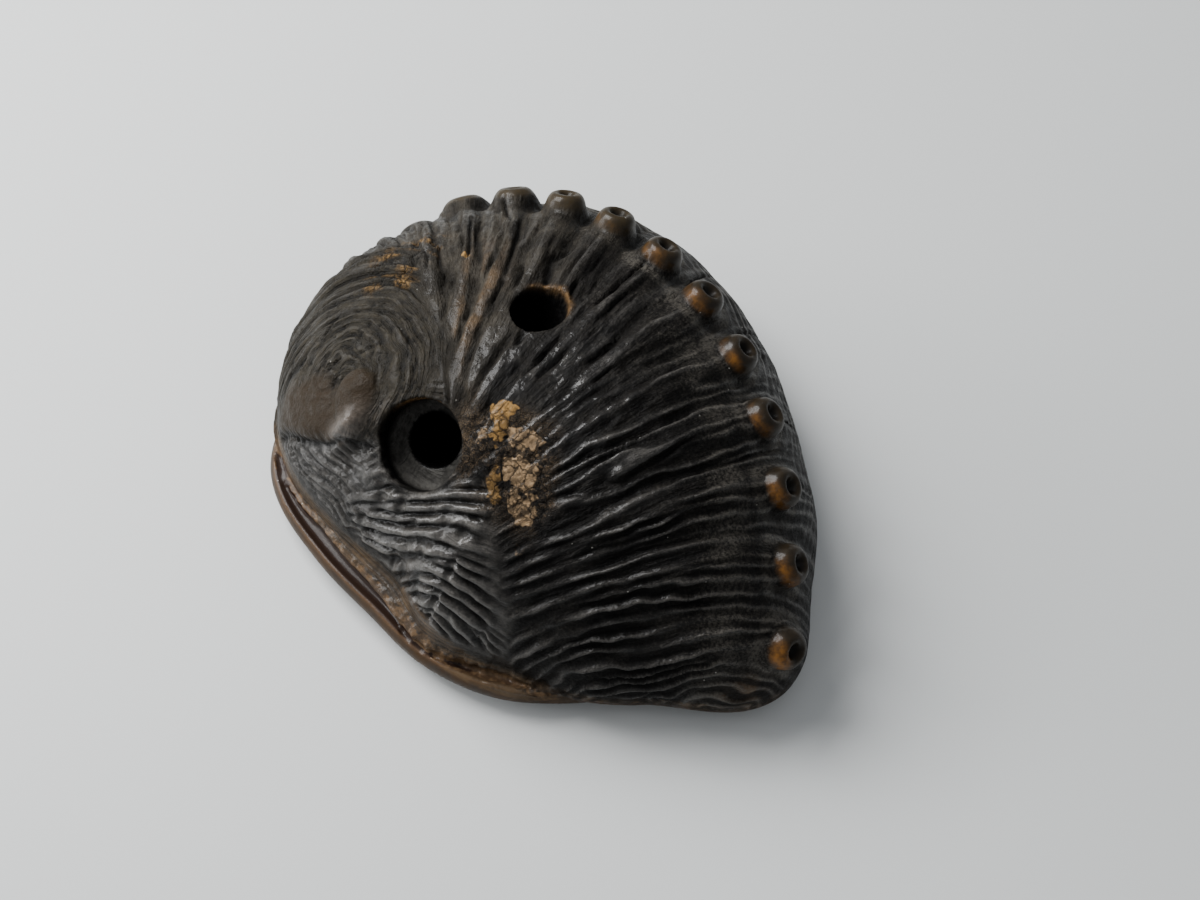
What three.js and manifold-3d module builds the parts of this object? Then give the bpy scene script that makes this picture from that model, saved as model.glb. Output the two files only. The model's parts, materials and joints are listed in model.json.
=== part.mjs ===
// A netsuke carved as an abalone shell, with the animal's foot beneath it, all in one piece of
// stained wood. Millimetres, +Z up, resting on the flat sole of the foot at z = 0. +X runs from
// the spire to the growing end of the shell, and +Y points to its row of raised pores.

import * as THREE from "three";
import { mergeVertices } from "three/addons/utils/BufferGeometryUtils.js";
import Module from "manifold-3d";

// ---- Driving dimensions, in millimetres and degrees ----

// Outlines seen from above: [direction from +X, radius about the origin].
const SHELL_OUTLINE = [
  [-160, 22.1], [-142, 19.9], [-122, 16.4], [-100, 14.3], [-80, 15.5], [-58, 15.6],
  [-42, 16.8], [-22, 18.9], [0, 21.5], [25, 20.4], [50, 18.9], [80, 19.7], [105, 21.5],
  [130, 22.7], [155, 23.2], [178, 23.5],
];
const FOOT_OUTLINE = [
  [-160, 21.3], [-142, 20.7], [-120, 17.7], [-100, 16.1], [-80, 16.3], [-58, 16.7],
  [-42, 16.8], [-22, 17.3], [0, 19.0], [25, 18.1], [50, 16.8], [80, 17.5], [105, 19.0],
  [130, 20.4], [155, 21.2], [178, 21.6],
];

// The growing corner, where the outline runs out beyond its smooth sweep.
const CORNER = { direction: -4, reach: 2.0, halfWidth: 22 };

// The dome over the outline: a crown that falls off as a super-ellipse, full and steep on the
// pore side and gently sloped on the near side.
const DOME = {
  crown: 16.6,
  steepSide: 122,
  fullness: 2.49,
  fullnessSwing: 0.56,
  roundness: 1.82,
  roundnessSwing: 0.22,
};
const LIP = { height: 2.6, raised: 3.7, raisedAt: -110, raisedHalfWidth: 75, thickness: 0.8 };

// The lip spreads into a narrow flange on the near side.
const FLANGE = { width: 0.9, at: -105, halfWidth: 72, reach: 6, rise: 0.35 };

// The spire: the last turn of the coil laps over the near flank at a curved ledge.
const LEDGE = {
  from: [-17.5, -11.0],
  to: [-6.8, -9.0],
  bow: 1.1,
  step: 1.0,
  softness: 0.9,
  reach: 4.2,
};
const NUCLEUS = { x: -10.4, y: -7.5, radius: 2.4, height: 0.55 };

// The row of raised pores winds out from the spire as an equiangular spiral, and its steps
// shorten a little as it goes.
const PORE_ROW = {
  centre: [-13.8, -9.4],
  firstDirection: 113,
  firstRadius: 19.3,
  growth: 0.379,
  step: 10.6,
  shortening: 0.15,
  count: 12,
};
const PORE = { radius: 1.5, topShare: 0.7, height: 1.2, pitDepth: 0.5, root: 1.6, sides: 12 };

// Broad growth ridges, one to a pore. Each leaves the row of pores and sweeps back in towards
// the spire, leaning over as it goes.
const RIDGE = { height: 0.3, lean: 1.31, curl: -0.6, spire: [8, 14], wall: 9, inner: [6, 26] };

// The cord holes: a round recess on the flank, a small round hole near the crown, and the
// curved channel that joins them inside.
const RECESS = { centre: [-3.95, -8.05], radius: 3.2, depth: 2.7, above: 3 };
const CHANNEL = { radius: 1.9, sides: 20, steps: 14 };
const CHANNEL_ROUTE = [
  [-4.1, 5.9, 19.6],
  [-4.4, 4.5, 16.2],
  [-4.5, 1.6, 11.9],
  [-4.4, -2.0, 10.2],
  [-4.3, -5.0, 11.1],
  [-4.25, -6.8, 12.9],
];

const DIRECTIONS = 110;
const DOME_RINGS = 22;

// The move that sets the middle of the finished bounding box over the origin.
const CENTRING = [-0.02, -2.354, 0];

// ---- Small helpers ----

const RADIANS = Math.PI / 180;
const mix = (a, b, t) => a + (b - a) * t;
const clamp01 = (t) => Math.min(1, Math.max(0, t));
const turn = (degrees) => ((((degrees + 180) % 360) + 360) % 360) - 180;

function ease(low, high, value) {
  const t = clamp01((value - low) / (high - low));
  return t * t * (3 - 2 * t);
}

// How near a direction is to a centre: 1 there, and 0 from halfWidth on. The lobe is its square,
// which also starts and ends smoothly.
function nearness(direction, centre, halfWidth) {
  return 1 - Math.min(1, Math.abs(turn(direction - centre)) / halfWidth) ** 2;
}
const lobe = (direction, centre, halfWidth) => nearness(direction, centre, halfWidth) ** 2;

// The radius of a closed outline in any direction, by cubic interpolation of its stations.
function radiusOf(outline, direction) {
  const n = outline.length;
  const station = (i) => {
    const lap = Math.floor(i / n);
    const [angle, radius] = outline[i - lap * n];
    return [angle + 360 * lap, radius];
  };
  const slope = (i) => {
    const [before, after] = [station(i - 1), station(i + 1)];
    return (after[1] - before[1]) / (after[0] - before[0]);
  };
  let angle = turn(direction);
  if (angle < outline[0][0]) angle += 360;
  let i = n - 1;
  while (i > 0 && outline[i][0] > angle) i -= 1;
  const [start, end] = [station(i), station(i + 1)];
  const width = end[0] - start[0];
  const t = (angle - start[0]) / width;
  return (
    (2 * t ** 3 - 3 * t ** 2 + 1) * start[1] +
    (t ** 3 - 2 * t ** 2 + t) * width * slope(i) +
    (3 * t ** 2 - 2 * t ** 3) * end[1] +
    (t ** 3 - t ** 2) * width * slope(i + 1)
  );
}

// ---- The surface of the shell ----

const cornerReach = (direction) =>
  CORNER.reach * lobe(direction, CORNER.direction, CORNER.halfWidth);

const shellRadius = (direction) =>
  radiusOf(SHELL_OUTLINE, direction) + cornerReach(direction);

const footRadius = (direction) =>
  radiusOf(FOOT_OUTLINE, direction) + 0.6 * cornerReach(direction);

const lipHeight = (direction) =>
  mix(LIP.height, LIP.raised, lobe(direction, LIP.raisedAt, LIP.raisedHalfWidth));

// The smooth dome, without the spire. The corner only counts near the edge, so that no ridge
// runs from it to the crown.
function domeHeight(x, y) {
  const direction = Math.atan2(y, x) / RADIANS;
  const radius = Math.hypot(x, y);
  const sweep = radiusOf(SHELL_OUTLINE, direction);
  const corner = cornerReach(direction) * ease(0.5, 1, radius / (sweep + cornerReach(direction)));
  const inside = Math.max(0, sweep + corner - radius);
  const flange = FLANGE.width * nearness(direction, FLANGE.at, FLANGE.halfWidth);
  const pulled = inside - flange * (1 - clamp01(inside / FLANGE.reach)) ** 2;
  const out = 1 - Math.max(0, pulled) / (sweep + corner);
  const side = Math.cos((direction - DOME.steepSide) * RADIANS);
  const fullness = DOME.fullness + DOME.fullnessSwing * side;
  const roundness = DOME.roundness + DOME.roundnessSwing * side;
  const lip = lipHeight(direction) + FLANGE.rise * Math.min(inside, flange);
  return lip + (DOME.crown - lip) * (1 - out ** fullness) ** (1 / roundness);
}

// How far the flank below the ledge is cut back, and the small swelling of the nucleus.
function spireRelief(x, y) {
  const [ax, ay] = LEDGE.from;
  const [bx, by] = LEDGE.to;
  const length = Math.hypot(bx - ax, by - ay);
  const [tx, ty] = [(bx - ax) / length, (by - ay) / length];
  const along = ((x - ax) * tx + (y - ay) * ty) / length;
  const bow = LEDGE.bow * 4 * clamp01(along) * (1 - clamp01(along));
  const below = (x - ax) * ty - (y - ay) * tx - bow;
  const window = ease(-0.1, 0.1, along) * (1 - ease(0.85, 1.2, along));
  const cut = ease(-LEDGE.softness, LEDGE.softness, below) * (1 - ease(0, LEDGE.reach, below));
  const fromNucleus = Math.hypot(x - NUCLEUS.x, y - NUCLEUS.y) / NUCLEUS.radius;
  const nucleus = Math.max(0, 1 - fromNucleus ** 2) ** 2;
  return NUCLEUS.height * nucleus - LEDGE.step * cut * window;
}

// Where a point lies among the growth lines, told by the pore its own line sets out from (as a
// number that counts the pores), and how far round from that pore it lies, in degrees.
function growthPlace(x, y) {
  const [cx, cy] = PORE_ROW.centre;
  const round = PORE_ROW.firstDirection * RADIANS - Math.atan2(y - cy, x - cx);
  const grown = Math.log(Math.hypot(x - cx, y - cy) / PORE_ROW.firstRadius);
  const slope = PORE_ROW.growth + RIDGE.lean;
  const root = slope ** 2 - 4 * RIDGE.curl * (grown - PORE_ROW.growth * round);
  const fromRow = (-slope + Math.sqrt(Math.max(0, root))) / (2 * RIDGE.curl);
  const turned = (round - fromRow) / RADIANS;
  const { step, shortening } = PORE_ROW;
  const number = (step - Math.sqrt(Math.max(0, step ** 2 - 4 * shortening * turned))) / (2 * shortening);
  return { number, fromRow: fromRow / RADIANS };
}

// The ridges fade out towards the spire, down the steep wall and over the crown.
function ridgeRelief(x, y) {
  const { number, fromRow } = growthPlace(x, y);
  const fromCentre = Math.hypot(x - PORE_ROW.centre[0], y - PORE_ROW.centre[1]);
  const fade =
    ease(...RIDGE.spire, fromCentre) *
    ease(-RIDGE.wall, 0, fromRow) *
    (1 - ease(...RIDGE.inner, fromRow));
  return RIDGE.height * fade * Math.cos(2 * Math.PI * number);
}

const surfaceHeight = (x, y) => domeHeight(x, y) + spireRelief(x, y) + ridgeRelief(x, y);

function surfaceNormal(x, y) {
  const step = 0.25;
  const slopeX = (surfaceHeight(x + step, y) - surfaceHeight(x - step, y)) / (2 * step);
  const slopeY = (surfaceHeight(x, y + step) - surfaceHeight(x, y - step)) / (2 * step);
  return new THREE.Vector3(-slopeX, -slopeY, 1).normalize();
}

// ---- The body: rings from the crown to the lip, and under it to the sole ----

// Below the lip, each station is [reference radius, offset outwards, height], once where the
// foot's rim shows beyond the shell and once where it is tucked in beneath it.
function undersideStations(direction) {
  const shell = shellRadius(direction);
  const foot = footRadius(direction);
  const lip = lipHeight(direction);
  const shown = ease(-0.6, 0.9, foot - shell);
  const between = (tucked, exposed) => tucked.map((value, k) => mix(value, exposed[k], shown));
  return [
    [shell - 0.12, lip - LIP.thickness],
    [shell - 0.7, lip - LIP.thickness - 0.15],
    between([mix(shell, foot, 0.5) - 0.2, 2.0], [shell - 0.25, 2.5]),
    between([foot + 0.25, 1.9], [foot - 0.95, 2.35]),
    between([foot + 0.1, 1.7], [foot - 0.45, 2.7]),
    between([foot, 1.35], [foot, 2.1]),
    between([foot - 0.2, 1.0], [foot - 0.1, 1.3]),
    [foot - 1.3, 0.45],
    [foot - 2.6, 0],
  ];
}

function bodyGeometry() {
  const rings = [];
  for (let ring = 1; ring <= DOME_RINGS; ring += 1) {
    const share = Math.sin((ring / DOME_RINGS) * 90 * RADIANS) ** 0.9;
    rings.push((direction) => [share * shellRadius(direction), null]);
  }
  const stationCount = undersideStations(0).length;
  for (let station = 0; station < stationCount; station += 1) {
    rings.push((direction) => undersideStations(direction)[station]);
  }
  const positions = [0, 0, surfaceHeight(0, 0)];
  for (const ring of rings) {
    for (let k = 0; k < DIRECTIONS; k += 1) {
      const direction = (360 * k) / DIRECTIONS;
      const [radius, height] = ring(direction);
      const x = radius * Math.cos(direction * RADIANS);
      const y = radius * Math.sin(direction * RADIANS);
      positions.push(x, y, height ?? surfaceHeight(x, y));
    }
  }
  positions.push(0, 0, 0);

  const index = [];
  const at = (ring, k) => 1 + ring * DIRECTIONS + (k % DIRECTIONS);
  const last = rings.length - 1;
  const sole = positions.length / 3 - 1;
  for (let k = 0; k < DIRECTIONS; k += 1) {
    index.push(0, at(0, k), at(0, k + 1));
    for (let ring = 0; ring < last; ring += 1) {
      index.push(at(ring, k), at(ring + 1, k), at(ring + 1, k + 1));
      index.push(at(ring, k), at(ring + 1, k + 1), at(ring, k + 1));
    }
    index.push(sole, at(last, k + 1), at(last, k));
  }
  return new THREE.BufferGeometry()
    .setAttribute("position", new THREE.Float32BufferAttribute(positions, 3))
    .setIndex(index);
}

// ---- Raised pores ----

// Each pore is a short tapered boss with a pit in its top. The first ones are low and small.
function poreGeometry(number) {
  const grown = ease(-2, 5, number);
  const radius = PORE.radius * mix(0.8, 1, grown);
  const height = PORE.height * mix(0.45, 1, grown);
  const top = radius * PORE.topShare;
  const profile = [
    [0, -PORE.root],
    [radius * 1.15, -PORE.root],
    [radius, height * 0.35],
    [top + 0.15, height * 0.85],
    [top - 0.15, height],
    [top * 0.5, height - PORE.pitDepth * grown * 0.8],
    [0, height - PORE.pitDepth * grown],
  ].map(([r, z]) => new THREE.Vector2(r, z));
  return new THREE.LatheGeometry(profile, PORE.sides).rotateX(90 * RADIANS);
}

function porePlace(number) {
  const turned = number * (PORE_ROW.step - PORE_ROW.shortening * number);
  const direction = (PORE_ROW.firstDirection - turned) * RADIANS;
  const radius = PORE_ROW.firstRadius * Math.exp(PORE_ROW.growth * turned * RADIANS);
  const x = PORE_ROW.centre[0] + radius * Math.cos(direction);
  const y = PORE_ROW.centre[1] + radius * Math.sin(direction);
  return new THREE.Vector3(x, y, surfaceHeight(x, y));
}

function pore(number) {
  const place = porePlace(number);
  const lean = surfaceNormal(place.x, place.y);
  const upright = new THREE.Vector3(0, 0, 1);
  const aim = new THREE.Quaternion().setFromUnitVectors(upright, lean);
  return poreGeometry(number).applyQuaternion(aim).translate(place.x, place.y, place.z);
}

// ---- Cord holes ----

function recess() {
  const [x, y] = RECESS.centre;
  const profile = [
    [0, -RECESS.depth],
    [RECESS.radius - 0.5, -RECESS.depth],
    [RECESS.radius - 0.12, -RECESS.depth + 0.4],
    [RECESS.radius, 0],
    [RECESS.radius + 0.2, RECESS.above],
    [0, RECESS.above],
  ].map(([r, z]) => new THREE.Vector2(r, z));
  const aim = new THREE.Quaternion().setFromUnitVectors(
    new THREE.Vector3(0, 0, 1),
    surfaceNormal(x, y),
  );
  return new THREE.LatheGeometry(profile, 28)
    .rotateX(90 * RADIANS)
    .applyQuaternion(aim)
    .translate(x, y, surfaceHeight(x, y));
}

function channel() {
  const circle = new THREE.Shape().absarc(0, 0, CHANNEL.radius, 0, 2 * Math.PI);
  const route = new THREE.CatmullRomCurve3(CHANNEL_ROUTE.map((p) => new THREE.Vector3(...p)));
  return new THREE.ExtrudeGeometry(circle, {
    steps: CHANNEL.steps,
    curveSegments: CHANNEL.sides / 2,
    extrudePath: route,
    bevelEnabled: false,
  });
}

// ---- Joining and cutting ----

const wasm = await Module();
wasm.setup();

function solidOf(geometry) {
  const plain = new THREE.BufferGeometry().setAttribute(
    "position",
    geometry.getAttribute("position"),
  );
  if (geometry.index) plain.setIndex(geometry.index);
  const merged = mergeVertices(plain, 1e-4);
  const solid = new wasm.Manifold(
    new wasm.Mesh({
      numProp: 3,
      vertProperties: merged.getAttribute("position").array,
      triVerts: new Uint32Array(merged.index.array),
    }),
  );
  return solid;
}

function geometryOf(solid) {
  const mesh = solid.getMesh();
  return new THREE.BufferGeometry()
    .setAttribute("position", new THREE.BufferAttribute(mesh.vertProperties, 3))
    .setIndex(new THREE.BufferAttribute(mesh.triVerts, 1));
}

let carving = solidOf(bodyGeometry());
for (let number = 0; number < PORE_ROW.count; number += 1) {
  carving = carving.add(solidOf(pore(number)));
}
carving = carving.subtract(solidOf(recess())).subtract(solidOf(channel()));

const stainedWood = new THREE.MeshStandardMaterial({
  color: 0x2b211b,
  roughness: 0.45,
  metalness: 0,
});
const netsuke = new THREE.Mesh(geometryOf(carving), stainedWood);
netsuke.name = "abalone_netsuke";
netsuke.geometry.translate(...CENTRING);
netsuke.geometry.computeVertexNormals();

const group = new THREE.Group();
group.add(netsuke);
export default group;
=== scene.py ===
# %% [markdown]
# # A netsuke carved as an abalone shell
#
# A netsuke is a small toggle that kept a purse hanging from the sash of a kimono. This one is
# one block of wood, carved as an abalone shell that lies over its own foot, stained almost
# black, and rubbed back to amber where fingers and silk have worn it.
#
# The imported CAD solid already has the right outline, dome, pores and cord holes. What it lacks
# is the carver's finer work: the growth folds, the ragged lip, the wear. This lesson rebuilds
# the same shape as a dense mesh, carves the fine relief into it with arrays of numbers, and
# then paints it with one material made of nodes.

import json
import math
from types import SimpleNamespace

import bmesh
import bpy
import numpy as np
from mathutils import Matrix, Vector

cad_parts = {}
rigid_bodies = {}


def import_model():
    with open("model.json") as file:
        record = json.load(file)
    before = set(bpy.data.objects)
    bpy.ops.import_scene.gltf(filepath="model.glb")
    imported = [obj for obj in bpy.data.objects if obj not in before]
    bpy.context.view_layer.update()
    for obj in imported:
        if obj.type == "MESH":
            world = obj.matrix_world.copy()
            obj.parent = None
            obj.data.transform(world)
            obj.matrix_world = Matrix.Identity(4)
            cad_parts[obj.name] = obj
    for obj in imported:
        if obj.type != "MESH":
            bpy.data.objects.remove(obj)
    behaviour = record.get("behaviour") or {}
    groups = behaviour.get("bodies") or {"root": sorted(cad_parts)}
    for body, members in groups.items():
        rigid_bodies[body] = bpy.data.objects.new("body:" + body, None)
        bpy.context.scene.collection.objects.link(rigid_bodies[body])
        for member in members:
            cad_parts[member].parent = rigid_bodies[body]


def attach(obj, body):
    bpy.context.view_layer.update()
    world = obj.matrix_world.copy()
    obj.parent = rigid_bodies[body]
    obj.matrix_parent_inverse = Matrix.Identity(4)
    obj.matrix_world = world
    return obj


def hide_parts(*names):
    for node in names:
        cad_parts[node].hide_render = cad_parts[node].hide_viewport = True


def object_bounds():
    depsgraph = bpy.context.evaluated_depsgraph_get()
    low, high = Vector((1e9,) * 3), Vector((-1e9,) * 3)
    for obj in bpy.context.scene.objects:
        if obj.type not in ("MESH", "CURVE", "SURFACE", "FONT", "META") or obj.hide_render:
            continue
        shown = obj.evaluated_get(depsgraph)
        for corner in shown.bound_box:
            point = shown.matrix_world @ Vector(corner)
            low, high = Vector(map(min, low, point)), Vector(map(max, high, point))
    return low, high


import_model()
cad_box = [[float(v) for v in corner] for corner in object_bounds()]
print("CAD box, metres:", cad_box)

# %% [markdown]
# ## Camera, floor and light
#
# The camera stands about 120 mm away and looks down at 60 degrees. It could be aimed with a
# constraint, but a carving this small is easier to frame when the camera's own axes are worked
# out first and the carving is then placed within the view, so that is what the code does. The
# floor is a plain pale sheet, and the light is what a window gives: one broad soft source high
# on the left, a weaker one opposite, and a bright, even room.

# %% Camera
MM = 0.001
CENTRING = np.array([-0.02, -2.354, 0.0])

view_azimuth, view_height = math.radians(42), math.radians(60)
view_width = math.radians(39)
distance, aim_height = 121.0, 7.5
off_centre = (-0.03247, -0.00118)

level = np.array([-math.sin(view_azimuth), math.cos(view_azimuth), 0])
forward = level * math.cos(view_height) - np.array([0, 0, math.sin(view_height)])
right = np.array([math.cos(view_azimuth), math.sin(view_azimuth), 0])
up = np.cross(right, forward)
looked_at = np.array([0, 0, aim_height]) + CENTRING
stand = looked_at - (forward + right * off_centre[0] + up * off_centre[1]) * distance


def placed(data):
    """Puts a camera, a lamp or a mesh into the scene, under the data's own name."""
    thing = bpy.data.objects.new(data.name, data)
    bpy.context.scene.collection.objects.link(thing)
    return thing


camera_data = bpy.data.cameras.new("camera")
camera_data.angle = view_width
camera_data.clip_start = 0.005
camera = placed(camera_data)
camera.location = Vector(stand * MM)
camera.rotation_euler = (math.pi / 2 - view_height, 0, view_azimuth)
bpy.context.scene.camera = camera
print("camera stands at", [round(float(v), 1) for v in stand], "mm")

# %% Floor
pale = bpy.data.materials.new("pale_floor")
pale.use_nodes = True
pale_shader = pale.node_tree.nodes["Principled BSDF"].inputs
pale_shader["Base Color"].default_value = (0.62, 0.635, 0.63, 1)
pale_shader["Roughness"].default_value = 0.55

bpy.ops.mesh.primitive_plane_add(size=1.6, location=(0, 0, 0))
floor = bpy.context.object
floor.name = "floor"
floor.data.materials.append(pale)
print("floor is", round(floor.dimensions.x, 2), "m across")

# %% Light
def window_light(name, azimuth, height, reach, size, power):
    a, h = math.radians(azimuth), math.radians(height)
    place = Vector((math.cos(a) * math.cos(h), math.sin(a) * math.cos(h), math.sin(h))) * reach
    lamp = bpy.data.lights.new(name, "AREA")
    lamp.size, lamp.energy = size, power
    holder = placed(lamp)
    holder.location = place
    holder.rotation_euler = (-place).to_track_quat("-Z", "Y").to_euler()


window_light("window", azimuth=182, height=48, reach=0.245, size=0.15, power=1.12)
window_light("low_window", azimuth=-148, height=18, reach=0.40, size=0.20, power=1.1)
world = bpy.data.worlds.new("room_light")
world.use_nodes = True
sky = world.node_tree.nodes["Background"].inputs
sky["Color"].default_value = (0.93, 0.96, 1.0, 1)
sky["Strength"].default_value = 0.42
bpy.context.scene.world = world

# %% [markdown]
# ## The large shape
#
# The shell's outline, seen from above, is a loop of a few radii, and its dome falls away from
# the crown as a super-ellipse, steep on the side of the pores and gentler on the near side.
# These are the CAD part's own driving sizes, in millimetres. Sculpting over the CAD mesh would
# keep its facets, so the surface is built again from the same formulas, much more finely.

# %% Sizes shared with the CAD part
SHELL_OUTLINE = [
    (-160, 22.1), (-142, 19.9), (-122, 16.4), (-100, 14.3), (-80, 15.5), (-58, 15.6),
    (-42, 16.8), (-22, 18.9), (0, 21.5), (25, 20.4), (50, 18.9), (80, 19.7), (105, 21.5),
    (130, 22.7), (155, 23.2), (178, 23.5),
]
FOOT_OUTLINE = [
    (-160, 21.3), (-142, 20.7), (-120, 17.7), (-100, 16.1), (-80, 16.3), (-58, 16.7),
    (-42, 16.8), (-22, 17.3), (0, 19.0), (25, 18.1), (50, 16.8), (80, 17.5), (105, 19.0),
    (130, 20.4), (155, 21.2), (178, 21.6),
]
CORNER = dict(direction=-4, reach=2.0, half_width=22, foot_share=0.6)
DOME = dict(crown=16.6, steep_side=122, fullness=2.49, fullness_swing=0.56,
            roundness=1.82, roundness_swing=0.22)
LIP = dict(height=2.6, raised=3.7, raised_at=-110, raised_half_width=75, thickness=0.8)
FLANGE = dict(width=0.9, at=-105, half_width=72, reach=6.0, rise=0.35)
LIP_WEAR = dict(depth=0.25, at=-68, half_width=27)
LIP_SPREAD = dict(reach=0.7, at=-97, half_width=31)
LEDGE = dict(start=(-17.5, -11.0), end=(-6.8, -9.0), bow=1.1, step=1.0, softness=0.45, reach=4.2)
NUCLEUS = dict(x=-10.4, y=-7.5, radius=2.4, height=0.55)
ROW = dict(centre=(-13.8, -9.4), first_direction=113, first_radius=19.3, growth=0.379,
           step=10.6, shortening=0.15, count=12)
RIDGE = dict(height=0.3, lean=1.31, curl=-0.6, spire=(8, 14), wall=9, inner=(6, 26))
PORE = dict(radius=1.5, height=1.2, pit=0.5, root=1.6)
RECESS = dict(centre=(-3.95, -8.05), radius=3.2, depth=2.7, above=3.0)
CHANNEL_RADIUS = 1.9
CHANNEL_ROUTE = [(-4.1, 5.9, 19.6), (-4.4, 4.5, 16.2), (-4.5, 1.6, 11.9), (-4.4, -2.0, 10.2),
                 (-4.3, -5.0, 11.1), (-4.25, -6.8, 12.9)]
print(len(SHELL_OUTLINE), "stations round the shell,", ROW["count"], "pores")

# %% Small helpers for arrays
DEG = math.pi / 180


def mix(a, b, t):
    return a + (b - a) * t


def clamp(value):
    return np.clip(value, 0, 1)


def ease(low, high, value):
    """0 below low, 1 above high, smooth between."""
    t = clamp((value - low) / (high - low))
    return t * t * (3 - 2 * t)


def fall(low, high, value):
    """1 below low, 0 above high, smooth between."""
    return 1 - ease(low, high, value)


def bell(value):
    """1 at zero, falling smoothly to nearly nothing at two either side."""
    return np.exp(-(value**2))


def ripple(value, period=1):
    return np.cos(2 * math.pi * value / period)


def thread(value, sharpness):
    """1 where a noise crosses zero, 0 a little way off: a thin winding line."""
    return 1 - np.minimum(1, np.abs(value) * sharpness)


def strongest(*masks):
    return np.max(np.broadcast_arrays(*masks), axis=0)


def turn(degrees):
    return (np.asarray(degrees, float) + 180) % 360 - 180


def nearness(direction, centre, half_width):
    """1 at one direction, falling to 0 at half_width either side."""
    return 1 - np.minimum(1, np.abs(turn(direction - centre)) / half_width) ** 2


def polar(x, y, centre=(0, 0)):
    x, y = x - centre[0], y - centre[1]
    return np.degrees(np.arctan2(y, x)), np.hypot(x, y)


def beside(x, y, start, end):
    """How far along a line a point is, how far to its right, and how long the line is."""
    (ax, ay), (bx, by) = start, end
    length = math.hypot(bx - ax, by - ay)
    tx, ty = (bx - ax) / length, (by - ay) / length
    return (x - ax) * tx + (y - ay) * ty, (x - ax) * ty - (y - ay) * tx, length


def radius_of(outline, direction):
    """The radius of a closed outline in any direction, smooth through its stations."""
    angle, radius = np.array(outline, float).T
    angle = np.concatenate([angle - 360, angle, angle + 360])
    radius = np.tile(radius, 3)
    slope = np.zeros_like(radius)
    slope[1:-1] = (radius[2:] - radius[:-2]) / (angle[2:] - angle[:-2])
    where = turn(direction)
    i = np.clip(np.searchsorted(angle, where, side="right") - 1, 0, len(angle) - 2)
    width = angle[i + 1] - angle[i]
    t = (where - angle[i]) / width
    return ((2 * t**3 - 3 * t**2 + 1) * radius[i] + (t**3 - 2 * t**2 + t) * width * slope[i]
            + (3 * t**2 - 2 * t**3) * radius[i + 1] + (t**3 - t**2) * width * slope[i + 1])


print("shell radius at 0 and 90 degrees:", radius_of(SHELL_OUTLINE, np.array([0.0, 90.0])))

# %% The dome
def corner_reach(direction):
    return CORNER["reach"] * nearness(direction, CORNER["direction"], CORNER["half_width"]) ** 2


def shell_radius(direction):
    worn_back = LIP_WEAR["depth"] * nearness(direction, LIP_WEAR["at"], LIP_WEAR["half_width"])
    lobe = nearness(direction, LIP_SPREAD["at"], LIP_SPREAD["half_width"]) ** 2
    whole = radius_of(SHELL_OUTLINE, direction) + corner_reach(direction)
    return whole - worn_back + LIP_SPREAD["reach"] * lobe


def foot_radius(direction):
    return radius_of(FOOT_OUTLINE, direction) + CORNER["foot_share"] * corner_reach(direction)


def lip_height(direction):
    lobe = nearness(direction, LIP["raised_at"], LIP["raised_half_width"]) ** 2
    return mix(LIP["height"], LIP["raised"], lobe)


def dome_height(x, y):
    direction, radius = polar(x, y)
    sweep = radius_of(SHELL_OUTLINE, direction)
    corner = corner_reach(direction)
    edge = sweep + corner * ease(0.5, 1, radius / (sweep + corner))
    inside = np.maximum(0, edge - radius)
    flange = FLANGE["width"] * nearness(direction, FLANGE["at"], FLANGE["half_width"])
    pulled = inside - flange * (1 - clamp(inside / FLANGE["reach"])) ** 2
    out = 1 - np.maximum(0, pulled) / edge
    side = np.cos((direction - DOME["steep_side"]) * DEG)
    fullness = DOME["fullness"] + DOME["fullness_swing"] * side
    roundness = DOME["roundness"] + DOME["roundness_swing"] * side
    base = lip_height(direction)
    rise = FLANGE["rise"] * np.minimum(inside, flange)
    return base + rise + (DOME["crown"] - base - rise) * (1 - out**fullness) ** (1 / roundness)


print("crown", dome_height(np.array(0.0), np.array(0.0)), "mm")

# %% The spire and the growth lines
def below_ledge(x, y):
    """How far a point lies on the near side of the ledge, and how far along it."""
    along, off, length = beside(x, y, LEDGE["start"], LEDGE["end"])
    along = along / length
    bow = LEDGE["bow"] * 4 * clamp(along) * (1 - clamp(along))
    return off - bow, along


def spire_relief(x, y):
    below, along = below_ledge(x, y)
    window = ease(-0.1, 0.1, along) * fall(0.85, 1.2, along)
    cut = ease(-LEDGE["softness"], LEDGE["softness"], below) * fall(0, LEDGE["reach"], below)
    far = np.hypot(x - NUCLEUS["x"], y - NUCLEUS["y"]) / NUCLEUS["radius"]
    return NUCLEUS["height"] * np.maximum(0, 1 - far**2) ** 2 - LEDGE["step"] * cut * window


def growth_place(x, y):
    """Which growth line a point is on, counted in pores, and how far round from the row."""
    cx, cy = ROW["centre"]
    around = ROW["first_direction"] * DEG - np.arctan2(y - cy, x - cx)
    grown = np.log(np.maximum(np.hypot(x - cx, y - cy), 0.05) / ROW["first_radius"])
    slope = ROW["growth"] + RIDGE["lean"]
    root = slope**2 - 4 * RIDGE["curl"] * (grown - ROW["growth"] * around)
    from_row = (-slope + np.sqrt(np.maximum(0, root))) / (2 * RIDGE["curl"])
    turned = (around - from_row) / DEG
    inside = np.maximum(0, ROW["step"] ** 2 - 4 * ROW["shortening"] * turned)
    number = (ROW["step"] - np.sqrt(inside)) / (2 * ROW["shortening"])
    return number, from_row / DEG


def ridge_relief(x, y):
    number, from_row = growth_place(x, y)
    fade = ease(*RIDGE["spire"], polar(x, y, ROW["centre"])[1])
    fade = fade * ease(-RIDGE["wall"], 0, from_row) * fall(*RIDGE["inner"], from_row)
    return RIDGE["height"] * fade * ripple(number)


def surface_height(x, y):
    return dome_height(x, y) + spire_relief(x, y) + ridge_relief(x, y)


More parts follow.
